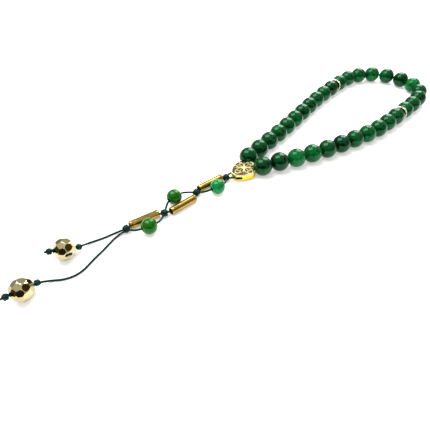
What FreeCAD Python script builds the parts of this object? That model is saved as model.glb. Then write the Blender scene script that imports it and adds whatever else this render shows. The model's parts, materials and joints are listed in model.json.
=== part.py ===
import FreeCAD, Part
import math
import os

# Misbaha: 33 round stone beads on one cord, closed by a flat metal imamah, with a knotted
# tassel of three metal tubes, three small beads and two faceted balls on cord tails.
# Millimetres. The loop lies along +Y, the tassel along -Y, and the table is z = 0.
# Origin: the middle of the imamah's flat underside.

V = FreeCAD.Vector

# ---- driving dimensions ----
CORD_D = 0.8
BEAD_COUNT = 33
SECTION = 11                 # beads between two separators
BEAD_D = 8.0
BEAD_BORE = 1.6
DISC_D = 6.4                 # the flat separators
DISC_T = 1.1
IMAMAH_T = 4.2
IMAMAH_EDGE = 0.8            # rounding of its upper and lower rims
IMAMAH_BORE = 1.5
TUBE_D = 3.2
TUBE_BORE = 2.2
TUBE_L = 11.8
SMALL_D = 6.0
SMALL_BORE = 1.5
BALL_D = 7.8
BALL_BORE = 1.6
KNOT_D = 3.0                 # the knots that tie both cords of the tassel together
END_KNOT_D = 2.3             # the knots on each side of a faceted ball
PIVOT_GAP = 0.12             # round a knot that another cord swings about
TOUCH_GAP = 0.08             # between a ball or an end bead and the piece that holds it
TIP_L = 0.5                  # the cord's cut tip beyond the last knot

# ---- knots of the tassel, centres ----
KNOT_Z = KNOT_D / 2
NECK_KNOT = V(-1.8, -8.4, KNOT_Z)
UPPER_KNOT = V(-2.4, -23.8, KNOT_Z)
MIDDLE_KNOT = V(-1.0, -40.6, KNOT_Z)
LOWER_KNOT = V(-3.2, -55.9, KNOT_Z)

# ---- the loop cord, from the neck knot round the beads and back ----
RISE = BEAD_D / 2            # the cord runs at the beads' middle height
SIDE_BY_SIDE = V(0.5, 0, 0)  # its two ends lie beside each other in the neck knot
LOOP_ROUTE = [
    NECK_KNOT - SIDE_BY_SIDE, V(-2.6, -4.4, 1.9), V(-3.4, 1.4, 2.75), V(-4.3, 9.6, 4.65),
    V(-6.0, 18.6, RISE),
    V(-9.4, 35.5, RISE), V(-13.9, 54.0, RISE), V(-18.0, 70.0, RISE), V(-21.5, 91.0, RISE),
    V(-22.4, 104.6, RISE), V(-18.6, 115.7, RISE), V(-9.8, 122.3, RISE), V(1.0, 124.0, RISE),
    V(11.4, 120.6, RISE), V(17.0, 110.9, RISE), V(18.4, 97.0, RISE), V(19.3, 82.0, RISE),
    V(20.1, 67.0, RISE), V(18.2, 54.0, RISE), V(14.9, 36.6, RISE), V(10.0, 20.0, RISE),
    V(5.6, 9.4, 4.55), V(4.0, 1.4, 2.75), V(2.0, -5.0, 1.9), NECK_KNOT + SIDE_BY_SIDE,
]
FIRST_BEAD_Y = 6.6           # middle of the bead at each end of the loop
LAST_BEAD_Y = 6.1
BEAD_HOLD = 0.45 * BEAD_D    # half of the cord's stretch inside a bead
LOOP_GAP = 0.08              # first guess at the gap between neighbours on the cord
EPS = 1e-6


# ---- cord paths: straight runs joined by tangent arcs ----
def corner(before, here, after):
    """Tangent points, middle of the arc and radius where a route turns at `here`."""
    back = before - here
    ahead = after - here
    reach = 0.45 * min(back.Length, ahead.Length)
    back.normalize()
    ahead.normalize()
    half_turn = (math.pi - back.getAngle(ahead)) / 2
    radius = reach / math.tan(half_turn)
    bisector = back + ahead
    bisector.normalize()
    to_centre = reach / math.sin(half_turn)
    return (here + back * reach, here + bisector * (to_centre - radius),
            here + ahead * reach, radius)


def route_edges(name, points):
    """Edges of the cord's centre line; prints its tightest arc and its length."""
    edges = []
    radii = []
    start = points[0]
    for before, here, after in zip(points, points[1:], points[2:]):
        leave, middle, enter, radius = corner(before, here, after)
        edges.append(Part.LineSegment(start, leave).toShape())
        edges.append(Part.Arc(leave, middle, enter).toShape())
        radii.append(radius)
        start = enter
    edges.append(Part.LineSegment(start, points[-1]).toShape())
    length = sum(edge.Length for edge in edges)
    shown = " ".join("%.1f" % radius for radius in radii)
    print("%s: length %.1f, radii %s" % (name, length, shown))
    return edges


def tube_along(edges, diameter):
    first = edges[0]
    heading = first.valueAt(first.LastParameter) - first.valueAt(first.FirstParameter)
    ring = Part.makeCircle(diameter / 2, first.valueAt(first.FirstParameter), heading)
    return Part.Wire(edges).makePipeShell([Part.Wire(ring)], True, False)


def cord_solid(name, points, diameter=CORD_D):
    """A cord of the full section along the route, with its volume compared."""
    edges = route_edges(name, points)
    solid = tube_along(edges, diameter)
    wanted = math.pi * diameter ** 2 / 4 * sum(edge.Length for edge in edges)
    print("%s: volume %.3f of %.3f" % (name, solid.Volume, wanted))
    return solid


def point_at(edges, distance):
    """The point at a distance along the edges."""
    for edge in edges:
        if distance <= edge.Length + EPS:
            return edge.valueAt(edge.getParameterByLength(min(distance, edge.Length)))
        distance -= edge.Length
    last = edges[-1]
    return last.valueAt(last.LastParameter)


def distance_to_y(edges, y, from_end=False):
    """How far along the edges the cord first (or last) crosses a Y value."""
    total = sum(edge.Length for edge in edges)
    low, high = (total / 2, total) if from_end else (0.0, total / 2)
    for _ in range(50):
        middle = (low + high) / 2
        beyond = point_at(edges, middle).y > y
        if beyond == from_end:
            low = middle
        else:
            high = middle
    return (low + high) / 2


# ---- where the beads and separators sit on the loop cord ----
def seat(edges, distance, half_width):
    """Middle and axis of a bored piece threaded at a distance along the cord."""
    entry = point_at(edges, distance - half_width)
    leave = point_at(edges, distance + half_width)
    chord_middle = (entry + leave) / 2
    centre = (point_at(edges, distance) + chord_middle) / 2
    axis = leave - entry
    axis.normalize()
    return centre, axis


def next_seat(edges, place, centre, apart, half_width):
    """The seat further along the cord whose middle is `apart` from the last one's."""
    low, high = place, place + 1.3 * apart
    for _ in range(30):
        middle = (low + high) / 2
        found, axis = seat(edges, middle, half_width)
        if found.distanceToPoint(centre) < apart:
            low = middle
        else:
            high = middle
    return middle, found, axis


def string_loop(edges, gap):
    """Threads the beads and separators a gap apart; gives them and the last place."""
    place = distance_to_y(edges, FIRST_BEAD_Y)
    centre, axis = seat(edges, place, BEAD_HOLD)
    threaded = [("bead_01", centre, axis)]
    for number in range(2, BEAD_COUNT + 1):
        apart = BEAD_D + gap
        if number % SECTION == 1:
            apart = (BEAD_D + DISC_T) / 2 + gap
            place, centre, axis = next_seat(edges, place, centre, apart, DISC_T / 2)
            threaded.append(("separator_%d" % (number // SECTION), centre, axis))
        place, centre, axis = next_seat(edges, place, centre, apart, BEAD_HOLD)
        threaded.append(("bead_%02d" % number, centre, axis))
    return threaded, place


def loop_seats():
    """Names, middles and axes of the 33 beads and the two separators."""
    edges = route_edges("loop route", LOOP_ROUTE)
    last = distance_to_y(edges, LAST_BEAD_Y, from_end=True)
    gap = LOOP_GAP
    for _ in range(4):
        threaded, place = string_loop(edges, gap)
        gap += (last - place) / (len(threaded) - 1)
    print("loop: gap between neighbours %.3f" % gap)
    for _, centre, _ in threaded:
        centre.z = RISE
    return threaded


def bored(solid, centre, axis, bore, depth):
    start = centre - axis * (depth / 2)
    return solid.cut(Part.makeCylinder(bore / 2, depth, start, axis))


def bored_ball(centre, axis, diameter, bore):
    ball = Part.makeSphere(diameter / 2, centre, axis)
    return bored(ball, centre, axis, bore, diameter + 2)


def bored_cylinder(centre, axis, diameter, length, bore):
    start = centre - axis * (length / 2)
    rod = Part.makeCylinder(diameter / 2, length, start, axis)
    return bored(rod, centre, axis, bore, length + 2)


# ---- the imamah: a flat shield with rounded rims, two cord bores and two bead seats ----
IMAMAH_HALF = [(0.0, 5.3), (4.6, 2.5), (5.2, 0.4), (3.7, -3.8), (1.5, -6.0)]
IMAMAH_CORNER = 1.2


def imamah(end_beads):
    """The shield, hollowed where the bead at each end of the loop nests against it."""
    right = [V(x, y, 0) for x, y in IMAMAH_HALF]
    left = [V(-x, y, 0) for x, y in reversed(IMAMAH_HALF[1:])]
    outline = right + left
    body = Part.Face(Part.makePolygon(outline + outline[:1])).extrude(V(0, 0, IMAMAH_T))
    uprights = [edge for edge in body.Edges if edge.BoundBox.ZLength > EPS]
    body = body.makeFillet(IMAMAH_CORNER, uprights)
    rims = [edge for edge in body.Edges if edge.BoundBox.ZLength < EPS]
    body = body.makeFillet(IMAMAH_EDGE, rims)
    for points in (LOOP_ROUTE[:4], LOOP_ROUTE[-4:]):
        body = body.cut(tube_along(route_edges("imamah bore", points), IMAMAH_BORE))
    for bead in end_beads:
        body = body.cut(Part.makeSphere(BEAD_D / 2 + TOUCH_GAP, bead))
    return body


# ---- the tassel ----
def knot(centre, diameter):
    return Part.makeSphere(diameter / 2, centre)


def clear_of(solid, centre, diameter, gap):
    """Trims a cord back from a knot, to touch its surface or to leave a gap."""
    return solid.cut(Part.makeSphere(diameter / 2 + gap, centre))


# One drop of the tassel: the knot it hangs from, its tube, its small bead, the cords
# through both, and the knot that closes it.
DROPS = {
    "upper": {
        "from": NECK_KNOT, "to": UPPER_KNOT,
        "tube": (V(-3.2, -15.9, TUBE_D / 2), V(-0.4, -12.0, 0)),
        "tube_route": [V(-3.0, -10.2, 1.6), V(-3.3, -15.8, 1.4), V(-3.3, -21.6, 1.6)],
        "bead": (V(1.8, -16.3, SMALL_D / 2), V(-0.6, -6.2, 0)),
        "bead_route": [V(0.8, -10.6, 2.3), V(2.1, -13.2, 2.9), V(1.5, -19.4, 2.9),
                       V(0.0, -22.2, 2.2)],
    },
    "middle": {
        "from": UPPER_KNOT, "to": MIDDLE_KNOT,
        "tube": (V(0.0, -32.4, TUBE_D / 2), V(0.2, -12.0, 0)),
        "tube_route": [V(-0.3, -26.9, 1.6), V(0.1, -32.4, 1.4), V(0.1, -38.2, 1.6)],
        "bead": (V(-4.6, -33.0, SMALL_D / 2), V(0.6, -6.2, 0)),
        "bead_route": [V(-4.3, -26.8, 2.2), V(-4.9, -29.9, 2.9), V(-4.3, -36.1, 2.9),
                       V(-2.6, -38.4, 2.2)],
    },
    "lower": {
        "from": MIDDLE_KNOT, "to": LOWER_KNOT,
        "tube": (V(-3.0, -48.2, TUBE_D / 2), V(-1.6, -12.0, 0)),
        "tube_route": [V(-2.1, -43.0, 1.6), V(-3.1, -48.2, 1.4), V(-3.6, -53.6, 1.6)],
        "bead": (V(2.5, -49.7, SMALL_D / 2), V(-1.2, -6.2, 0)),
        "bead_route": [V(1.9, -43.6, 2.2), V(3.1, -46.6, 2.9), V(1.9, -52.8, 2.9),
                       V(-0.1, -55.2, 2.2)],
    },
}


def drop_nodes(name, drop):
    start = drop["from"]
    end = drop["to"]
    tube_middle, tube_axis = drop["tube"]
    tube_axis = V(tube_axis)
    tube_axis.normalize()
    bead_middle, bead_axis = drop["bead"]
    bead_axis = V(bead_axis)
    bead_axis.normalize()
    cords = {
        name + "_tube_cord": [start] + drop["tube_route"] + [end],
        name + "_bead_cord": [start] + drop["bead_route"] + [end],
    }
    nodes = {
        name + "_tube": bored_cylinder(tube_middle, tube_axis, TUBE_D, TUBE_L, TUBE_BORE),
        name + "_bead": bored_ball(bead_middle, bead_axis, SMALL_D, SMALL_BORE),
        name + "_knot": knot(end, KNOT_D),
    }
    for cord_name, points in cords.items():
        solid = cord_solid(cord_name, points)
        solid = clear_of(solid, start, KNOT_D, PIVOT_GAP)
        nodes[cord_name] = clear_of(solid, end, KNOT_D, 0)
    return nodes


# A tail: its cord leaves the last knot beside the other tail, lies on the table, climbs
# into a knot, passes through a faceted ball and ends in a second knot.
LIE = CORD_D / 2
TAILS = {
    "left": {
        "ball": V(-6.2, -78.0, BALL_D / 2),
        "axis": V(-0.6, -8.0, 3.2),
        "route": [V(-3.2, -54.9, 1.2), V(-5.1, -59.2, LIE), V(-5.4, -63.8, LIE),
                  V(-6.8, -69.0, LIE)],
    },
    "right": {
        "ball": V(0.8, -95.7, BALL_D / 2),
        "axis": V(1.2, -8.0, 2.2),
        "route": [V(-2.7, -55.4, 1.2), V(-3.5, -59.8, LIE), V(-0.9, -65.8, LIE),
                  V(1.2, -72.0, LIE), V(3.6, -77.6, LIE), V(3.0, -82.8, LIE),
                  V(-0.2, -87.2, LIE)],
    },
}


def tail_nodes(name, tail):
    axis = V(tail["axis"])
    axis.normalize()
    ball = tail["ball"]
    reach = BALL_D / 2 + TOUCH_GAP + END_KNOT_D / 2
    near_knot = ball - axis * reach
    far_knot = ball + axis * reach
    tip = far_knot + axis * (END_KNOT_D / 2 + TIP_L)
    route = tail["route"] + [near_knot, tip]
    solid = cord_solid(name + "_tail_cord", route)
    solid = clear_of(solid, LOWER_KNOT, KNOT_D, PIVOT_GAP)
    knots = Part.makeCompound([knot(near_knot, END_KNOT_D), knot(far_knot, END_KNOT_D)])
    return {
        name + "_tail_cord": solid.cut(knots),
        name + "_tail_knots": knots,
        name + "_ball": bored_ball(ball, axis, BALL_D, BALL_BORE),
    }


def build():
    nodes = {}
    threaded = loop_seats()
    for name, centre, axis in threaded:
        if name.startswith("bead"):
            nodes[name] = bored_ball(centre, axis, BEAD_D, BEAD_BORE)
        else:
            nodes[name] = bored_cylinder(centre, axis, DISC_D, DISC_T, BEAD_BORE)
    nodes["imamah"] = imamah([threaded[0][1], threaded[-1][1]])
    nodes["neck_knot"] = knot(NECK_KNOT, KNOT_D)
    nodes["loop_cord"] = clear_of(cord_solid("loop_cord", LOOP_ROUTE), NECK_KNOT, KNOT_D, 0)
    for name, drop in DROPS.items():
        nodes.update(drop_nodes(name, drop))
    for name, tail in TAILS.items():
        nodes.update(tail_nodes(name, tail))
    return nodes


if __name__ == "__main__":
    os.makedirs("parts", exist_ok=True)
    for node, shape in build().items():
        shape.exportStep("parts/%s.step" % node)
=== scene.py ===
import json
import math
import random

import bmesh
import bpy
from mathutils import Matrix, Quaternion, Vector


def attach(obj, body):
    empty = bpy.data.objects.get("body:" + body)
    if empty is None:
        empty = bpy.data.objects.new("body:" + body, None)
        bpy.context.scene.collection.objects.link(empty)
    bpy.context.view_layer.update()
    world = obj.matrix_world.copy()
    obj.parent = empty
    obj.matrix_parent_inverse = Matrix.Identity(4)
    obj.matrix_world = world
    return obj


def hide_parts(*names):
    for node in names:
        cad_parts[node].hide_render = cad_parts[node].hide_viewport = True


# Misbaha of 33 green stone beads with a gold-tone imamah and a knotted tassel.
# The scene is in metres in the row frame. Sizes and places of the string's parts are written
# in millimetres, and MM turns them into metres.

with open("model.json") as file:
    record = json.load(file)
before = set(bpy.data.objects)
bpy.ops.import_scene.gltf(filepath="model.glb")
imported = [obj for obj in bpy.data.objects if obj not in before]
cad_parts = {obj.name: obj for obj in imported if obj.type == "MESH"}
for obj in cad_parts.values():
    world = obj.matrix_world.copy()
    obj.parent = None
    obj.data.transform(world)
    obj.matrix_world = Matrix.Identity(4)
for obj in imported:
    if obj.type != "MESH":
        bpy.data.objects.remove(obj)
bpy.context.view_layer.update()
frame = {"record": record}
MM = 0.001

JOINTS = frame["record"]["behaviour"]["joints"]
SEATS = {j["child"]: (Vector(j["pos_m"]), Vector(j["axis"]).normalized())
         for j in JOINTS if j.get("continuous")}    # each turning piece: its middle and axis
BEADS = sorted(name for name in SEATS if name.startswith("bead_"))
Z_AXIS = Vector((0, 0, 1))


# ---------------------------------------------------------------- camera
CAMERA_AIM = (11.2, -26.0, 0.0)
CAMERA_DISTANCE = 162.8
CAMERA_AZIMUTH = math.radians(-41.5)
CAMERA_ELEVATION = math.radians(42.1)
SENSOR_WIDTH = 36.0
LENS = 36.08


def add_camera():
    """A camera close to the string, looking down on the table."""
    away = Vector((math.cos(CAMERA_AZIMUTH) * math.cos(CAMERA_ELEVATION),
                   math.sin(CAMERA_AZIMUTH) * math.cos(CAMERA_ELEVATION),
                   math.sin(CAMERA_ELEVATION)))
    data = bpy.data.cameras.new("camera")
    data.sensor_width = SENSOR_WIDTH
    data.lens = LENS
    data.clip_start = 0.005
    data.clip_end = 20.0
    camera = bpy.data.objects.new("camera", data)
    bpy.context.scene.collection.objects.link(camera)
    camera.location = Vector(CAMERA_AIM) * MM + away * (CAMERA_DISTANCE * MM)
    camera.rotation_euler = away.to_track_quat("Z", "Y").to_euler()
    bpy.context.scene.camera = camera


# ---------------------------------------------------------------- cord routes
# A route is the control points of a cord's smooth line.
CORD_D = 0.8
LIE = CORD_D / 2             # height of a cord's middle where it lies on the table
NECK_KNOT = (-1.8, -8.4, 1.5)
UPPER_KNOT = (-2.4, -23.8, 1.5)
MIDDLE_KNOT = (-1.0, -40.6, 1.5)
LOWER_KNOT = (-3.2, -55.9, 1.5)
LOOP_ROUTE = [
    (-2.3, -8.4, 1.5), (-2.6, -4.4, 1.9), (-3.4, 1.4, 2.75), (-4.3, 9.6, 4.65),
    (-6.0, 18.6, 4), (-9.4, 35.5, 4), (-13.9, 54.0, 4), (-18.0, 70.0, 4), (-21.5, 91.0, 4),
    (-22.4, 104.6, 4), (-18.6, 115.7, 4), (-9.8, 122.3, 4), (1.0, 124.0, 4),
    (11.4, 120.6, 4), (17.0, 110.9, 4), (18.4, 97.0, 4), (19.3, 82.0, 4), (20.1, 67.0, 4),
    (18.2, 54.0, 4), (14.9, 36.6, 4), (10.0, 20.0, 4), (5.6, 9.4, 4.55), (4.0, 1.4, 2.75),
    (2.0, -5.0, 1.9), (-1.3, -8.4, 1.5),
]
DROP_ROUTES = {
    "upper_tube_cord": [NECK_KNOT, (-3.0, -10.2, 1.6), (-3.3, -15.8, 1.4), (-3.3, -21.6, 1.6),
                        UPPER_KNOT],
    "upper_bead_cord": [NECK_KNOT, (0.8, -10.6, 2.3), (2.1, -13.2, 2.9), (1.5, -19.4, 2.9),
                        (0.0, -22.2, 2.2), UPPER_KNOT],
    "middle_tube_cord": [UPPER_KNOT, (-0.3, -26.9, 1.6), (0.1, -32.4, 1.4), (0.1, -38.2, 1.6),
                         MIDDLE_KNOT],
    "middle_bead_cord": [UPPER_KNOT, (-4.3, -26.8, 2.2), (-4.9, -29.9, 2.9),
                         (-4.3, -36.1, 2.9), (-2.6, -38.4, 2.2), MIDDLE_KNOT],
    "lower_tube_cord": [MIDDLE_KNOT, (-2.1, -43.0, 1.6), (-3.1, -48.2, 1.4),
                        (-3.6, -53.6, 1.6), LOWER_KNOT],
    "lower_bead_cord": [MIDDLE_KNOT, (1.9, -43.6, 2.2), (3.1, -46.6, 2.9), (1.9, -52.8, 2.9),
                        (-0.1, -55.2, 2.2), LOWER_KNOT],
}
TAIL_ROUTES = {
    "left": [(-3.2, -54.9, 1.2), (-5.1, -59.2, LIE), (-5.4, -63.8, LIE), (-6.8, -69.0, LIE)],
    "right": [(-2.7, -55.4, 1.2), (-3.5, -59.8, LIE), (-0.9, -65.8, LIE), (1.2, -72.0, LIE),
              (3.6, -77.6, LIE), (3.0, -82.8, LIE), (-0.2, -87.2, LIE)],
}


# ---------------------------------------------------------------- node helpers
class Graph:
    """A material's node tree, with short calls for the nodes used here."""

    def __init__(self, name):
        self.material = bpy.data.materials.new(name)
        self.material.use_nodes = True
        self.nodes = self.material.node_tree.nodes
        self.links = self.material.node_tree.links
        self.shader = self.nodes["Principled BSDF"]

    def link(self, source, target):
        self.links.new(source, target)

    def set(self, **values):
        for name, value in values.items():
            self.shader.inputs[name.replace("_", " ")].default_value = value

    def place(self):
        """Position on the piece at rest, in metres."""
        return self.nodes.new("ShaderNodeTexCoord").outputs["Object"]

    def noise(self, scale, detail, roughness=0.5, distortion=0.0):
        """Cloudy noise with a given number of cells to the metre."""
        node = self.nodes.new("ShaderNodeTexNoise")
        node.inputs["Scale"].default_value = scale
        node.inputs["Detail"].default_value = detail
        node.inputs["Roughness"].default_value = roughness
        node.inputs["Distortion"].default_value = distortion
        self.link(self.place(), node.inputs["Vector"])
        return node.outputs["Fac"]

    def attribute(self, name):
        node = self.nodes.new("ShaderNodeAttribute")
        node.attribute_name = name
        return node.outputs["Fac"]

    def math(self, operation, a, b):
        node = self.nodes.new("ShaderNodeMath")
        node.operation = operation
        for socket, value in zip(node.inputs, (a, b)):
            if isinstance(value, (int, float)):
                socket.default_value = value
            else:
                self.link(value, socket)
        return node.outputs["Value"]

    def ramp(self, factor, stops):
        node = self.nodes.new("ShaderNodeValToRGB")
        fill_ramp(node, stops)
        self.link(factor, node.inputs["Fac"])
        return node.outputs["Color"]

    def spread(self, factor, low, high):
        """low where the factor is 0, high where it is 1."""
        node = self.nodes.new("ShaderNodeMapRange")
        node.inputs["To Min"].default_value = low
        node.inputs["To Max"].default_value = high
        self.link(factor, node.inputs["Value"])
        return node.outputs["Result"]

    def blend(self, factor, first, second):
        """first where the factor is 0, second where it is 1."""
        node = self.nodes.new("ShaderNodeMix")
        node.data_type = "RGBA"
        self.link(factor, node.inputs["Factor"])
        for name, value in (("A", first), ("B", second)):
            if isinstance(value, tuple):
                node.inputs[name].default_value = (*value, 1.0)
            else:
                self.link(value, node.inputs[name])
        return node.outputs["Result"]

    def bump(self, height, distance, strength):
        node = self.nodes.new("ShaderNodeBump")
        node.inputs["Distance"].default_value = distance
        node.inputs["Strength"].default_value = strength
        self.link(height, node.inputs["Height"])
        self.link(node.outputs["Normal"], self.shader.inputs["Normal"])


def fill_ramp(node, stops):
    """Gives a colour ramp its stops of (position, colour)."""
    points = node.color_ramp.elements
    while len(points) < len(stops):
        points.new(0.5)
    for point, (position, colour) in zip(points, stops):
        point.position = position
        point.color = (*colour, 1.0)


# ---------------------------------------------------------------- materials
# Stones have three shades, from dark to pale, and the shine is the tint of their highlight.
DEEP_GREENS = ((0.0002, 0.007, 0.0012), (0.0006, 0.048, 0.0085), (0.0018, 0.17, 0.030))
LEAF_GREENS = ((0.002, 0.055, 0.0003), (0.006, 0.13, 0.0006), (0.02, 0.29, 0.004))
EMERALDS = ((0.0003, 0.08, 0.015), (0.0008, 0.18, 0.045), (0.008, 0.40, 0.12))
SHADE_PLACES = (0.38, 0.56, 0.8)
DEEP_SHINE = (0.22, 0.95, 0.45)
BRIGHT_SHINE = (0.4, 1.0, 0.4)

# Metals have a plated colour and a worn one.
PALE_GOLD = ((0.75, 0.72, 0.52), (0.64, 0.60, 0.40))
TUBE_GOLD = ((0.42, 0.29, 0.07), (0.27, 0.165, 0.035))
CHAMPAGNE_GOLD = ((0.58, 0.52, 0.31), (0.50, 0.44, 0.24))
DULL_SHARE = 0.5             # how light a dull flat is beside the worn colour
YELLOW_SIDE = (0.80, 0.64, 0.04)
YELLOW_WORN = (0.5, 0.34, 0.07)
PALE_RIDGE = (0.93, 0.86, 0.50)
PATINA = (0.030, 0.018, 0.001)

CORD_DARK = (0.0003, 0.004, 0.003)
CORD_LIGHT = (0.0018, 0.019, 0.013)
CORD_SHINE = (0.35, 0.9, 0.75)


def stone(name, green, emerald, shine, subsurface):
    """Polished cloudy stone. Its tone and its share of emerald are painted on each bead."""
    g = Graph(name)
    clouds = g.noise(190, detail=6, roughness=0.6, distortion=1.0)
    veins = g.noise(800, detail=5, roughness=0.7, distortion=1.5)
    mix = g.math("ADD", g.math("MULTIPLY", clouds, 0.8), g.math("MULTIPLY", veins, 0.2))
    tone = g.math("ADD", mix, g.attribute("tone"))
    colours = [g.ramp(tone, list(zip(SHADE_PLACES, shades))) for shades in (green, emerald)]
    g.link(g.blend(g.attribute("emerald"), *colours), g.shader.inputs["Base Color"])
    g.link(g.spread(g.noise(1500, detail=3), 0.05, 0.12), g.shader.inputs["Roughness"])
    g.bump(g.noise(420, detail=2), 0.00002, 0.4)
    g.set(IOR=1.5, Specular_Tint=(*shine, 1.0))
    g.set(Subsurface_Weight=subsurface, Subsurface_Radius=(0.3, 1.0, 0.5),
          Subsurface_Scale=0.0015)
    return g.material


def gold(name, colour, worn, rough_low, rough_high):
    """Plated metal: slightly uneven polish with fine scratches, duller where painted so."""
    g = Graph(name)
    patches = g.noise(350, detail=5, roughness=0.6)
    plating = g.ramp(patches, [(0.35, worn), (0.6, colour)])
    dulled = tuple(channel * DULL_SHARE for channel in worn)
    g.link(g.blend(g.attribute("dull"), plating, dulled), g.shader.inputs["Base Color"])
    scratches = g.noise(6000, detail=3, distortion=3.0)
    g.link(g.spread(g.math("MULTIPLY", patches, scratches), rough_low, rough_high),
           g.shader.inputs["Roughness"])
    g.bump(scratches, 0.000004, 0.35)
    g.set(Metallic=1.0)
    return g.material


def relief_gold(name, side, ridge, patina):
    """Yellow gold sides, paler worn ridges, and dark patina in the hollows on top."""
    g = Graph(name)
    patches = g.noise(900, detail=5, roughness=0.65)
    plating = g.blend(g.attribute("top"), side, ridge)
    worn = g.blend(g.spread(patches, 0.0, 0.3), plating, YELLOW_WORN)
    depth = g.math("MULTIPLY", g.attribute("hollow"), g.spread(patches, 0.7, 1.2))
    g.link(g.blend(depth, worn, patina), g.shader.inputs["Base Color"])
    g.link(g.spread(g.attribute("top"), 0.2, 0.38), g.shader.inputs["Roughness"])
    g.link(g.spread(g.attribute("top"), 1.0, 0.6), g.shader.inputs["Metallic"])
    g.bump(g.noise(5000, detail=3), 0.00001, 0.4)
    return g.material


def waxed_cord(name):
    """Dark green waxed cord: fine fibre grain and a soft wax shine."""
    g = Graph(name)
    fibres = g.noise(5000, detail=6, roughness=0.75)
    g.link(g.ramp(fibres, [(0.3, CORD_DARK), (0.7, CORD_LIGHT)]), g.shader.inputs["Base Color"])
    g.link(g.spread(fibres, 0.35, 0.6), g.shader.inputs["Roughness"])
    g.bump(fibres, 0.00004, 0.5)
    g.set(Specular_Tint=(*CORD_SHINE, 1.0), Specular_IOR_Level=0.3)
    return g.material


MATERIALS = {
    "prayer_bead_stone": stone("green_stone", DEEP_GREENS, DEEP_GREENS, DEEP_SHINE, 0.2),
    "small_bead_stone": stone("bright_green_stone", LEAF_GREENS, EMERALDS, BRIGHT_SHINE, 0.35),
    "separator_gold": gold("pale_gold", *PALE_GOLD, 0.15, 0.3),
    "imamah_gold": relief_gold("imamah_gold", YELLOW_SIDE, PALE_RIDGE, PATINA),
    "tube_gold": gold("tube_gold", *TUBE_GOLD, 0.06, 0.16),
    "ball_gold": gold("champagne_gold", *CHAMPAGNE_GOLD, 0.03, 0.12),
    "cord": waxed_cord("green_cord"),
}


# ---------------------------------------------------------------- mesh helpers
PLAIN_SMOOTH = 35.0          # degrees: edges sharper than these stay sharp
FACET_SMOOTH = 8.0
CORD_SMOOTH = 60.0


def add_piece(name, mesh, body, slot, *nodes, smooth_angle=PLAIN_SMOOTH):
    """Puts a finished mesh into the scene in place of its CAD nodes."""
    piece = bpy.data.objects.new(name, mesh)
    bpy.context.scene.collection.objects.link(piece)
    mesh.materials.clear()
    mesh.materials.append(MATERIALS[slot])
    mesh.shade_smooth()
    mesh.set_sharp_from_angle(angle=math.radians(smooth_angle))
    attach(piece, body)
    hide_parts(*nodes)
    return piece


def mesh_of(name, corners, faces):
    mesh = bpy.data.meshes.new(name)
    mesh.from_pydata([tuple(c) for c in corners], [], faces)
    mesh.update()
    return mesh


def turned(name, profile, centre, axis, sides):
    """Revolves a closed profile of (radius, height) about an axis at a centre."""
    turn = Z_AXIS.rotation_difference(axis)
    corners = []
    for radius, height in profile:
        for side in range(sides):
            angle = 2 * math.pi * side / sides
            local = Vector((radius * math.cos(angle), radius * math.sin(angle), height))
            corners.append(centre + turn @ (local * MM))
    faces = []
    count = len(profile)
    for ring in range(count):
        after = (ring + 1) % count
        for side in range(sides):
            beside = (side + 1) % sides
            faces.append((ring * sides + side, ring * sides + beside,
                          after * sides + beside, after * sides + side))
    return mesh_of(name, corners, faces)


def arc(centre, radius, start, end, steps):
    """Points of a circular arc in a profile, angles in degrees."""
    points = []
    for step in range(steps + 1):
        angle = math.radians(start + (end - start) * step / steps)
        points.append((centre[0] + radius * math.cos(angle),
                       centre[1] + radius * math.sin(angle)))
    return points


def mirrored(profile):
    """The same stretch of profile below the middle, in reverse order."""
    return [(radius, -height) for radius, height in reversed(profile)]


def paint(mesh, name, value_at):
    """A float on each vertex for the material to read."""
    layer = mesh.attributes.new(name, "FLOAT", "POINT")
    for index, vertex in enumerate(mesh.vertices):
        layer.data[index].value = value_at(vertex.co)


# ---------------------------------------------------------------- beads
BEAD_D = 8.0
BEAD_BORE = 1.6
SMALL_BEAD_D = 6.0
SMALL_BEAD_BORE = 1.5
MOUTH = 0.18                 # width of the eased edge round a bore
BEAD_SIDES = 64
# How much paler or darker than the others a prayer bead is, by its number on the loop.
BEAD_TONES = {1: -0.05, 2: -0.04, 4: 0.06, 5: 0.03, 9: 0.05, 11: -0.07, 14: 0.05, 15: 0.10,
              16: 0.02, 17: -0.05, 18: 0.20, 24: 0.04, 26: 0.10, 28: -0.07, 29: 0.02,
              30: 0.06, 31: 0.13, 32: -0.06, 33: -0.08}
TONE_CHANCE = 0.03           # and how much chance adds to that or takes off


def bead_profile(diameter, bore):
    """A drilled ball: sphere from one bore mouth to the other, with eased mouths."""
    radius = diameter / 2
    hole = bore / 2
    edge = math.degrees(math.asin((hole + MOUTH) / radius))
    profile = arc((0, 0), radius, -90 + edge, 90 - edge, 40)
    top = profile[-1][1]
    lip = [(hole + MOUTH * 0.45, top - MOUTH * 0.15), (hole + MOUTH * 0.1, top - MOUTH * 0.6),
           (hole, top - MOUTH * 1.3)]
    inner = [(hole, height) for height in (top * 0.5, 0.0, -top * 0.5)]
    return profile + lip + inner + mirrored(lip)


def add_bead(name, diameter, bore, slot, tone, emerald=0.0):
    centre, axis = SEATS[name]
    mesh = turned(name + "_stone", bead_profile(diameter, bore), centre, axis, BEAD_SIDES)
    paint(mesh, "tone", lambda _: tone)
    paint(mesh, "emerald", lambda _: emerald)
    add_piece(name + "_stone", mesh, name, slot, name)


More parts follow.
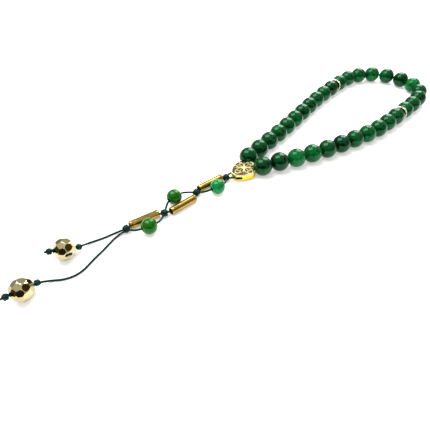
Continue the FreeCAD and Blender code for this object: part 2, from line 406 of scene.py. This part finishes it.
def add_beads():
    chance = random.Random(33)
    for number, name in enumerate(BEADS, 1):
        tone = BEAD_TONES.get(number, 0.0) + chance.uniform(-TONE_CHANCE, TONE_CHANCE)
        add_bead(name, BEAD_D, BEAD_BORE, "prayer_bead_stone", tone)
    for name, tone, emerald in (("upper_bead", 0.02, 1.0), ("middle_bead", 0.0, 0.0),
                                ("lower_bead", -0.02, 0.0)):
        add_bead(name, SMALL_BEAD_D, SMALL_BEAD_BORE, "small_bead_stone", tone, emerald)


# ---------------------------------------------------------------- separators
DISC_BORE_R = 0.8
DISC_EDGE = (3.05, 0.38)     # middle of the rounded edge of the rim
DISC_EDGE_R = 0.15
DISC_LEVEL = 0.53            # half the thickness at the rim and the collar
DISC_DIP = 0.42              # half the thickness between them
DISC_SIDES = 180
MILLED_FROM = 3.0            # the ridges are on what is further out than this
MILLED_RIDGES = 45
MILLED_DEPTH = 0.05


def add_separators():
    """Flat discs with a finely milled rim and a raised collar round the hole."""
    rim = (arc((DISC_EDGE[0], -DISC_EDGE[1]), DISC_EDGE_R, -90, 0, 4)
           + arc(DISC_EDGE, DISC_EDGE_R, 0, 90, 4))
    face = [(2.7, DISC_LEVEL), (2.5, DISC_DIP), (1.7, DISC_DIP), (1.5, DISC_LEVEL),
            (0.95, DISC_LEVEL), (DISC_BORE_R, DISC_DIP)]
    profile = rim + face + [(DISC_BORE_R, 0.0)] + mirrored(face)
    for name in ("separator_1", "separator_2"):
        centre, axis = SEATS[name]
        mesh = turned(name + "_disc", profile, centre, axis, DISC_SIDES)
        mill_rim(mesh, centre, axis)
        add_piece(name + "_disc", mesh, name, "separator_gold", name)


def mill_rim(mesh, centre, axis):
    """Small ridges across a disc's rim."""
    turn = Z_AXIS.rotation_difference(axis)
    for vertex in mesh.vertices:
        local = turn.inverted() @ (vertex.co - centre)
        reach = math.hypot(local.x, local.y) / MM
        if reach > MILLED_FROM:
            angle = math.atan2(local.y, local.x)
            ridge = MILLED_DEPTH * math.cos(MILLED_RIDGES * angle) / reach
            vertex.co += turn @ Vector((local.x, local.y, 0)) * ridge


# ---------------------------------------------------------------- tubes
TUBE_HALF = 5.9              # half the length
TUBE_R = 1.53
TUBE_BORE_R = 1.1
LIP_R = 1.6                  # outside of the lip
LIP_ROLL = 0.25              # radius of its rolled edge
TUBE_SIDES = 64


def add_tubes():
    """Thin drawn tubes with a small rolled lip at each end."""
    upper = [(TUBE_R, TUBE_HALF - 1.2), (TUBE_R, TUBE_HALF - 0.6), (LIP_R, TUBE_HALF - 0.42)]
    upper += arc((LIP_R - LIP_ROLL, TUBE_HALF - LIP_ROLL), LIP_ROLL, 0, 180, 8)
    upper += [(TUBE_BORE_R, TUBE_HALF - 0.8)]
    profile = [(TUBE_R, 0.0)] + upper + [(TUBE_BORE_R, 0.0)] + mirrored(upper)
    for name in ("upper_tube", "middle_tube", "lower_tube"):
        centre, axis = SEATS[name]
        mesh = turned(name + "_metal", profile, centre, axis, TUBE_SIDES)
        add_piece(name + "_metal", mesh, name, "tube_gold", name)


# ---------------------------------------------------------------- faceted balls
BALL_D = 7.8
BALL_BORE = 1.6
BALL_FLAT = 3.7              # from the middle of a ball to each of its flats
BALL_ROLLS = {"left_ball": 0.716, "right_ball": 0.96}    # radians round the bore
# Rows of flats: latitude in degrees, how many, and how far turned as a share of a step.
FLAT_ROWS = [(0, 9, 0.0), (34, 9, 0.5), (-34, 9, 0.5), (64, 5, 0.0), (-64, 5, 0.0)]
FLAT_AREA = 1.0              # flats are larger than this, in mm2, and other faces smaller
DULLEST = 0.75               # the most that chance takes a flat towards the dull colour


def facet_normals():
    """Directions of the flats, in staggered rows round the bore axis."""
    for latitude, count, offset in FLAT_ROWS:
        lift = math.radians(latitude)
        for step in range(count):
            angle = 2 * math.pi * (step + offset) / count
            yield Vector((math.cos(lift) * math.cos(angle),
                          math.cos(lift) * math.sin(angle), math.sin(lift)))


def cut_flats(mesh):
    """Cuts the flats on a ball about the origin, whose bore is along Z."""
    form = bmesh.new()
    form.from_mesh(mesh)
    for normal in facet_normals():
        geometry = form.verts[:] + form.edges[:] + form.faces[:]
        cut = bmesh.ops.bisect_plane(form, geom=geometry, plane_co=normal * BALL_FLAT * MM,
                                     plane_no=normal, clear_outer=True, dist=1e-8)
        edges = [e for e in cut["geom_cut"] if isinstance(e, bmesh.types.BMEdge)]
        bmesh.ops.contextual_create(form, geom=edges)
    bmesh.ops.remove_doubles(form, verts=form.verts, dist=2e-6)
    bmesh.ops.recalc_face_normals(form, faces=form.faces)
    form.to_mesh(mesh)
    form.free()


def add_faceted_balls():
    """Balls cut flat on all sides, with narrow polished edges between the flats."""
    chance = random.Random(5)
    for name, roll in BALL_ROLLS.items():
        centre, axis = SEATS[name]
        mesh = turned(name + "_metal", bead_profile(BALL_D, BALL_BORE), Vector(), Z_AXIS,
                      BEAD_SIDES)
        cut_flats(mesh)
        dull = mesh.attributes.new("dull", "FLOAT", "FACE")
        for face in mesh.polygons:
            is_flat = face.area > FLAT_AREA * MM * MM
            dull.data[face.index].value = chance.uniform(0.0, DULLEST) if is_flat else 0.0
        turn = Z_AXIS.rotation_difference(axis) @ Quaternion(Z_AXIS, roll)
        mesh.transform(Matrix.Translation(centre) @ turn.to_matrix().to_4x4())
        add_piece(name + "_metal", mesh, name, "ball_gold", name, smooth_angle=FACET_SMOOTH)


# ---------------------------------------------------------------- imamah
# Right half of the outline, from the point between the beads to the narrow end.
IMAMAH_HALF = [(0.0, 5.3), (4.6, 2.5), (5.2, 0.4), (3.7, -3.8), (1.5, -6.0)]
CORNER_R = 1.2
IMAMAH_T = 4.2               # height at that point
TOP_FALL = 0.09              # how steeply the top falls to the narrow end
TOP_CROWN = 0.012            # its fall to each side, for each mm2 of the distance squared
GROUND = 0.62                # how far the ground of the relief lies below its ridges
RELIEF_EDGE = 0.42           # the relief stops this far inside the outline
SPOKES = 360
RELIEF_RINGS = 110
# Half widths of the ridges of the relief, the petal's as a share of its size.
RIM_W, RIB_W, PETAL_W, CURL_W, VEIN_W, BOSS_W = 0.3, 0.26, 0.15, 0.17, 0.2, 0.6
PETAL_AT, PETAL_LONG, PETAL_WIDE = 2.65, 1.95, 1.45      # middle and half sizes of a petal
CURL_AT, CURL_APART, CURL_R = 3.1, 0.62, 0.36
VEIN_FROM, VEIN_TO = 0.6, 2.9
QUARTER_OVERLAP = 0.3        # how far each quarter's pattern runs over the rib beside it
PATINA_FROM, PATINA_FADE = 0.18, 0.28    # depth where it starts, and how much further to full
PATINA_EDGE = 0.4            # none this near to the outline
TOP_DEPTH, TOP_FADE = 0.3, 0.5           # depth to which the top's colour goes, and its fade
SEAT_R = 4.08                # a hair more than a bead's radius
HOLE_LONG = 3.4
# Middle, direction and half sizes of each hole: oval slots on the narrow sides and round holes
# at the wide shoulders.
CORD_HOLES = [((-2.7, -4.5, 1.75), (0.1, -1.0, -0.1), 1.0, 0.62),
              ((2.2, -5.4, 1.75), (-0.35, -1.0, -0.1), 1.1, 0.62),
              ((-3.5, 2.4, 2.95), (-0.1, 1.0, 0.23), 0.7, 0.7),
              ((4.1, 2.2, 2.9), (0.2, 1.0, 0.22), 0.7, 0.7)]


def rounded_outline(corners, radius, steps):
    """A closed outline with each corner turned into an arc."""
    points = []
    count = len(corners)
    for index in range(count):
        here = Vector(corners[index])
        back = (Vector(corners[index - 1]) - here).normalized()
        ahead = (Vector(corners[(index + 1) % count]) - here).normalized()
        half = back.angle(ahead) / 2
        centre = here + (back + ahead).normalized() * (radius / math.sin(half))
        first = here + back * (radius / math.tan(half)) - centre
        last = here + ahead * (radius / math.tan(half)) - centre
        for step in range(steps + 1):
            share = step / steps
            points.append(centre + (first * (1 - share) + last * share).normalized() * radius)
    return points


def outline_reach(outline, angle):
    """Distance from the middle to the outline in a direction."""
    way = Vector((math.cos(angle), math.sin(angle)))
    across = Vector((-way.y, way.x))
    for first, last in zip(outline, outline[1:] + outline[:1]):
        a, b = first.dot(across), last.dot(across)
        if a * b <= 0 and abs(a - b) > 1e-9:
            point = first.lerp(last, a / (a - b))
            if point.dot(way) > 0:
                return point.length
    raise ValueError("the outline doesn't go round the middle")


def bell(distance, width):
    """A smooth ridge: 1 at no distance, falling to 0."""
    return math.exp(-(distance / width) ** 2)


def top_height(x, y):
    """The level of the ridges: it falls to the narrow end and a little to both sides."""
    return IMAMAH_T - TOP_FALL * (IMAMAH_HALF[0][1] - y) - TOP_CROWN * x * x


def relief(x, y, to_edge):
    """0 to 1, ground to ridge: rim, a cross of ribs, four petals with curls, a boss."""
    height = bell(to_edge - RIM_W, RIM_W)
    for quarter in range(4):
        angle = math.radians(90 * quarter)
        along = x * math.cos(angle) + y * math.sin(angle)
        across = -x * math.sin(angle) + y * math.cos(angle)
        if along < abs(across) - QUARTER_OVERLAP:
            continue
        rib = bell(along - abs(across), RIB_W)
        petal_way = math.hypot((along - PETAL_AT) / PETAL_LONG, across / PETAL_WIDE)
        petal = bell(petal_way - 1.0, PETAL_W)
        curl = bell(math.hypot(along - CURL_AT, abs(across) - CURL_APART) - CURL_R, CURL_W)
        vein = bell(across, VEIN_W) if VEIN_FROM < along < VEIN_TO else 0.0
        height = max(height, rib * 0.9, petal, curl * 0.85, vein * 0.9)
    return max(height, bell(math.hypot(x, y), BOSS_W))


def imamah_rings(reach):
    """(level, radius) from the middle of the top, over the rim and down to the underside."""
    rings = []
    for ring in range(1, RELIEF_RINGS + 1):
        rings.append(("relief", (reach - RELIEF_EDGE) * ring / RELIEF_RINGS))
    for drop, inset in ((0.06, 0.3), (0.16, 0.16), (0.3, 0.06), (0.5, 0.0)):
        rings.append((-drop, reach - inset))
    for height, inset in ((2.6, 0.0), (2.0, 0.0), (1.4, 0.0), (0.8, 0.0), (0.42, 0.06),
                          (0.2, 0.2), (0.06, 0.42), (0.0, 0.8)):
        rings.append((height, reach - inset))
    rings.append((0.0, reach * 0.5))
    return rings


def ring_height(level, x, y, to_edge):
    """A negative level is a drop below the top, any other a height above the underside."""
    top = top_height(x, y)
    if level == "relief":
        return top - GROUND * (1 - relief(x, y, to_edge))
    if level < 0:
        return top + level
    return level


def add_imamah():
    """Rings from the middle of the top to the underside, less the bead seats and holes."""
    left = [(-x, y) for x, y in reversed(IMAMAH_HALF[1:])]
    outline = rounded_outline(IMAMAH_HALF + left, CORNER_R, steps=10)
    columns = []
    for spoke in range(SPOKES):
        angle = 2 * math.pi * spoke / SPOKES
        reach = outline_reach(outline, angle)
        column = []
        for level, radius in imamah_rings(reach):
            x, y = radius * math.cos(angle), radius * math.sin(angle)
            column.append(Vector((x, y, ring_height(level, x, y, reach - radius))) * MM)
        columns.append(column)
    depth = len(columns[0])
    corners = [point for column in columns for point in column]
    corners += [Vector((0, 0, top_height(0, 0))) * MM, Vector((0, 0, 0))]
    faces = []
    for spoke in range(SPOKES):
        here, beside = spoke * depth, (spoke + 1) % SPOKES * depth
        faces.append((len(corners) - 2, here, beside))
        for ring in range(depth - 1):
            faces.append((here + ring, here + ring + 1, beside + ring + 1, beside + ring))
        faces.append((here + depth - 1, len(corners) - 1, beside + depth - 1))
    mesh = mesh_of("imamah_metal", corners, faces)
    piece = add_piece("imamah_metal", mesh, "root", "imamah_gold", "imamah")
    cut_away(piece, bead_seats())
    cut_away(piece, cord_holes())
    reaches = [outline_reach(outline, math.radians(angle)) for angle in range(360)]
    paint(piece.data, "hollow", lambda point: hollow_at(point, reaches))
    paint(piece.data, "top", top_at)


def hollow_at(point, reaches):
    """How much patina a point has: 0 on the ridges and the sides, 1 deep in the relief."""
    x, y, z = point / MM
    reach = reaches[round(math.degrees(math.atan2(y, x))) % 360]
    depth = top_height(x, y) - z
    if depth > GROUND + 0.05 or math.hypot(x, y) > reach - PATINA_EDGE:
        return 0.0
    return max(0.0, min(1.0, (depth - PATINA_FROM) / PATINA_FADE))


def top_at(point):
    """1 on the ridges and just below them, fading to 0 further down."""
    x, y, z = point / MM
    depth = top_height(x, y) - z
    return max(0.0, min(1.0, 1.0 - (depth - TOP_DEPTH) / TOP_FADE))


def bead_seats():
    """Balls a hair larger than the bead at each end of the loop, which nests there."""
    form = bmesh.new()
    for name in (BEADS[0], BEADS[-1]):
        bmesh.ops.create_uvsphere(form, u_segments=96, v_segments=64, radius=SEAT_R * MM,
                                  matrix=Matrix.Translation(SEATS[name][0]))
    return form


def cord_holes():
    """Oval rods where the cords go in and out."""
    form = bmesh.new()
    for centre, way, wide, high in CORD_HOLES:
        turn = Vector(way).normalized().to_track_quat("Z", "Y").to_matrix().to_4x4()
        place = Matrix.Translation(Vector(centre) * MM) @ turn
        scale = Matrix.Diagonal((wide * MM, high * MM, MM, 1.0))
        bmesh.ops.create_cone(form, cap_ends=True, segments=32, radius1=1.0, radius2=1.0,
                              depth=HOLE_LONG, matrix=place @ scale)
    return form


def cut_away(piece, form):
    """Takes the shapes of a bmesh out of a piece."""
    cutter_mesh = bpy.data.meshes.new("cutter")
    form.to_mesh(cutter_mesh)
    form.free()
    cutter = bpy.data.objects.new("cutter", cutter_mesh)
    bpy.context.scene.collection.objects.link(cutter)
    cut = piece.modifiers.new("cut", "BOOLEAN")
    cut.operation = "DIFFERENCE"
    cut.solver = "EXACT"
    cut.object = cutter
    bpy.context.view_layer.update()
    ready = piece.evaluated_get(bpy.context.evaluated_depsgraph_get())
    result = bpy.data.meshes.new_from_object(ready)
    piece.modifiers.clear()
    piece.data = result
    bpy.data.objects.remove(cutter)


# ---------------------------------------------------------------- cords
PLIES = 3
GROOVE = 0.12                # depth of the grooves between plies, as a share of the radius


def centreline(route, resolution=16):
    """Points along the smooth line of a route, read from its NURBS spline."""
    data = bpy.data.curves.new("route", "CURVE")
    data.dimensions = "3D"
    spline = data.splines.new("NURBS")
    spline.points.add(len(route) - 1)
    for point, place in zip(spline.points, route):
        point.co = (*(Vector(place) * MM), 1.0)
    spline.order_u = 3
    spline.use_endpoint_u = True
    spline.resolution_u = resolution
    holder = bpy.data.objects.new("route", data)
    bpy.context.scene.collection.objects.link(holder)
    bpy.context.view_layer.update()
    line = bpy.data.meshes.new_from_object(holder)
    points = [vertex.co.copy() for vertex in line.vertices]
    bpy.data.objects.remove(holder)
    return points


def evenly(points, step):
    """The same line with its points a fixed step apart."""
    spaced = [points[0]]
    left = step
    for first, last in zip(points, points[1:]):
        span = (last - first).length
        done = 0.0
        while span - done > left:
            done += left
            spaced.append(first.lerp(last, done / span))
            left = step
        left -= span - done
    if (spaced[-1] - points[-1]).length > step * 0.3:
        spaced.append(points[-1])
    return spaced


def laid_cord(name, points, radius, step=0.12, lay=2.6, sides=18):
    """A twisted cord: grooves between its plies wind once round it in each lay length."""
    points = evenly(points, step * MM)
    corners = []
    heading = (points[1] - points[0]).normalized()
    side = heading.orthogonal().normalized()
    travelled = 0.0
    for index, point in enumerate(points):
        before, after = points[max(index - 1, 0)], points[min(index + 1, len(points) - 1)]
        new_heading = (after - before).normalized()
        side = (heading.rotation_difference(new_heading) @ side).normalized()
        heading = new_heading
        across = heading.cross(side)
        if index:
            travelled += (point - points[index - 1]).length / MM
        for k in range(sides):
            angle = 2 * math.pi * k / sides
            fullness = abs(math.sin(PLIES / 2 * (angle - 2 * math.pi * travelled / lay)))
            reach = radius * (1 - GROOVE + GROOVE * math.sqrt(fullness)) * MM
            corners.append(point + (side * math.cos(angle) + across * math.sin(angle)) * reach)
    faces = []
    for ring in range(len(points) - 1):
        for k in range(sides):
            beside = (k + 1) % sides
            low, high = ring * sides, (ring + 1) * sides
            faces.append((low + k, low + beside, high + beside, high + k))
    faces.append(tuple(range(sides))[::-1])
    faces.append(tuple(range(len(corners) - sides, len(corners))))
    return mesh_of(name, corners, faces)


def add_cord(node, body, route):
    mesh = laid_cord(node + "_laid", centreline(route), CORD_D / 2)
    add_piece(node + "_laid", mesh, body, "cord", node, smooth_angle=CORD_SMOOTH)


def strand(name, points, radius):
    """A strand of a knot, tighter laid than the cords."""
    return laid_cord(name, centreline(points, resolution=10), radius, step=0.1, lay=1.9,
                     sides=14)


# ---------------------------------------------------------------- knots
TASSEL_KNOT_D, TASSEL_STRAND_R, TASSEL_TURNS = 3.0, 0.46, 3
TAIL_KNOT_D, TAIL_STRAND_R, TAIL_TURNS = 2.3, 0.42, 2
KNOT_GAP = 0.08              # between a ball and the knots beside it
CORD_TIP = 0.5               # how far a tail goes on past its last knot


def knot_mesh(name, middle, axis, size, radius, turns, roll):
    """A barrel knot: turns of cord round the cords' line, with one strand over them."""
    turn = Z_AXIS.rotation_difference(axis) @ Quaternion(Z_AXIS, roll)
    half = size * 0.5 - radius * 0.8
    points = []
    steps = 12 * turns
    for step in range(steps + 1):
        share = 2 * step / steps - 1
        angle = 2 * math.pi * turns * step / steps
        bulge = (size / 2 - radius) * math.sqrt(max(0.0, 1 - 0.55 * share ** 4))
        local = Vector((bulge * math.cos(angle), bulge * math.sin(angle),
                        half * 0.82 * share + 0.12 * math.sin(angle)))
        points.append(middle + turn @ local)
    inner_start = middle + turn @ Vector((0, 0, -half))
    inner_end = middle + turn @ Vector((0, 0, half))
    coil = strand(name, [inner_start] + points + [inner_end], radius)
    reach = size / 2 - radius * 0.85
    over = [Vector((0.1, 0, -half)), Vector((reach * 0.7, -0.5, -half * 0.75)),
            Vector((reach * 1.08, 0, 0)), Vector((reach * 0.7, 0.5, half * 0.75)),
            Vector((0.1, 0, half))]
    bridge = strand(name, [middle + turn @ p for p in over], radius * 0.95)
    return merged(name, [coil, bridge])


def merged(name, meshes):
    """Several meshes as one."""
    form = bmesh.new()
    for mesh in meshes:
        form.from_mesh(mesh)
    whole = bpy.data.meshes.new(name)
    form.to_mesh(whole)
    form.free()
    return whole


def add_tassel_knots():
    """Barrel knots that tie the tassel's cords together."""
    knots = {"neck_knot": (NECK_KNOT, (-0.1, -1.0, 0.0), "root", 2.4),
             "upper_knot": (UPPER_KNOT, (0.25, -1.0, 0.0), "upper_drop", 3.9),
             "middle_knot": (MIDDLE_KNOT, (-0.2, -1.0, 0.0), "middle_drop", 0.8),
             "lower_knot": (LOWER_KNOT, (0.1, -1.0, -0.05), "lower_drop", 5.2)}
    for name, (place, way, body, roll) in knots.items():
        mesh = knot_mesh(name + "_tied", Vector(place), Vector(way).normalized(),
                         TASSEL_KNOT_D, TASSEL_STRAND_R, TASSEL_TURNS, roll)
        add_piece(name + "_tied", mesh, body, "cord", name, smooth_angle=CORD_SMOOTH)


def add_tails():
    """Tail cords that lie on the table, each with its ball held between two knots."""
    ball_reach = BALL_D / 2 + KNOT_GAP + TAIL_KNOT_D / 2
    tip = TAIL_KNOT_D / 2 + CORD_TIP
    for side in ("left", "right"):
        ball, axis = SEATS[side + "_ball"]
        ball = ball / MM
        near, far = ball - axis * ball_reach, ball + axis * ball_reach
        route = TAIL_ROUTES[side] + [tuple(near), tuple(far + axis * tip)]
        line = centreline(route)
        body = side + "_tail"
        mesh = laid_cord(side + "_tail_cord_laid", line, CORD_D / 2)
        cord = add_piece(side + "_tail_cord_laid", mesh, body, "cord", side + "_tail_cord",
                         smooth_angle=CORD_SMOOTH)
        pair = [knot_mesh("knot", place, axis, TAIL_KNOT_D, TAIL_STRAND_R, TAIL_TURNS, roll)
                for place, roll in ((near, 0.4), (far, 2.3))]
        knots = add_piece(side + "_tail_knots_tied", merged(side + "_tail_knots_tied", pair),
                          body, "cord", side + "_tail_knots", smooth_angle=CORD_SMOOTH)


def add_cords():
    """The loop's cord and the two cords from each tassel knot to the next."""
    add_cord("loop_cord", "root", LOOP_ROUTE)
    for node, route in DROP_ROUTES.items():
        add_cord(node, node.split("_")[0] + "_drop", route)


# ---------------------------------------------------------------- stage, in metres
LIT_POINT = (0.005, 0.02, 0.0)
WINDOW_DISTANCE = 0.6
WINDOW_WIDE, WINDOW_HIGH = 0.34, 0.48
WINDOW_WATTS = 3.2
TABLE_HALF = 6
TABLE_GLOW = 0.38            # brings the white table up to a plain white ground
ROOM_STOPS = [(0.0, (0.36, 0.34, 0.30)), (0.25, (0.46, 0.43, 0.37)), (0.55, (0.8, 0.78, 0.72)),
              (1.0, (1.0, 1.0, 1.0))]
# Direction of each window.
WINDOWS = {"window_above": (-0.41, -0.21, 0.89), "window_behind": (-0.34, 0.69, 0.63)}
# Direction, width, height and colour of each dark card.
FLAGS = {"flag_front": ((0.74, -0.58, 0.30), 0.85, 0.68, (0.03, 0.018, 0.008)),
         "flag_left": ((-0.05, -0.99, 0.13), 1.0, 0.5, (0.16, 0.07, 0.02)),
         "flag_right": ((0.62, 0.50, 0.60), 0.5, 0.35, (0.08, 0.05, 0.016))}


def add_window(name, towards):
    """A soft panel in a direction from the string, turned to face it."""
    data = bpy.data.lights.new(name, "AREA")
    data.shape = "RECTANGLE"
    data.size = WINDOW_WIDE
    data.size_y = WINDOW_HIGH
    data.energy = WINDOW_WATTS
    light = bpy.data.objects.new(name, data)
    bpy.context.scene.collection.objects.link(light)
    way = Vector(towards).normalized()
    light.location = Vector(LIT_POINT) + way * WINDOW_DISTANCE
    light.rotation_euler = way.to_track_quat("Z", "Y").to_euler()


def add_sheet(name, half_wide, half_high):
    """A flat rectangle about the origin."""
    mesh = mesh_of(name, [(-half_wide, -half_high, 0), (half_wide, -half_high, 0),
                          (half_wide, half_high, 0), (-half_wide, half_high, 0)], [(0, 1, 2, 3)])
    sheet = bpy.data.objects.new(name, mesh)
    bpy.context.scene.collection.objects.link(sheet)
    return sheet


def add_floor():
    """A large white table."""
    table = add_sheet("table", TABLE_HALF, TABLE_HALF)
    g = Graph("white_table")
    g.link(g.ramp(g.noise(3, detail=3), [(0.3, (0.78, 0.78, 0.78)), (0.7, (0.82, 0.82, 0.82))]),
           g.shader.inputs["Base Color"])
    g.set(Roughness=0.8, Specular_IOR_Level=0.0)
    g.set(Emission_Color=(1.0, 1.0, 1.0, 1.0), Emission_Strength=TABLE_GLOW)
    table.data.materials.append(g.material)


def add_flag(name, towards, wide, high, colour):
    """A dark card a metre away that shows only in reflections, as in a photo studio."""
    flag = add_sheet(name, wide / 2, high / 2)
    way = Vector(towards).normalized()
    flag.location = way
    flag.rotation_euler = way.to_track_quat("Z", "Y").to_euler()
    flag.visible_camera = False
    flag.visible_diffuse = False
    flag.visible_shadow = False
    g = Graph(name)
    faded = tuple(channel * 0.6 for channel in colour)
    g.link(g.ramp(g.noise(6, detail=3), [(0.3, faded), (0.7, colour)]),
           g.shader.inputs["Base Color"])
    g.set(Roughness=0.9, Specular_IOR_Level=0.1)
    flag.data.materials.append(g.material)


def add_room():
    """A pale room: white overhead and a dull beige at the horizon."""
    world = bpy.data.worlds.new("room")
    bpy.context.scene.world = world
    world.use_nodes = True
    nodes, links = world.node_tree.nodes, world.node_tree.links
    place = nodes.new("ShaderNodeTexCoord")
    split = nodes.new("ShaderNodeSeparateXYZ")
    ramp = nodes.new("ShaderNodeValToRGB")
    links.new(place.outputs["Generated"], split.inputs["Vector"])
    links.new(split.outputs["Z"], ramp.inputs["Fac"])
    fill_ramp(ramp, ROOM_STOPS)
    links.new(ramp.outputs["Color"], nodes["Background"].inputs["Color"])
    nodes["Background"].inputs["Strength"].default_value = 1.0


def add_stage():
    add_floor()
    add_room()
    for name, towards in WINDOWS.items():
        add_window(name, towards)
    for name, flag in FLAGS.items():
        add_flag(name, *flag)
    bpy.context.scene.view_settings.view_transform = "Standard"


add_camera()
add_beads()
add_separators()
add_tubes()
add_faceted_balls()
add_imamah()
add_cords()
add_tassel_knots()
add_tails()
add_stage()
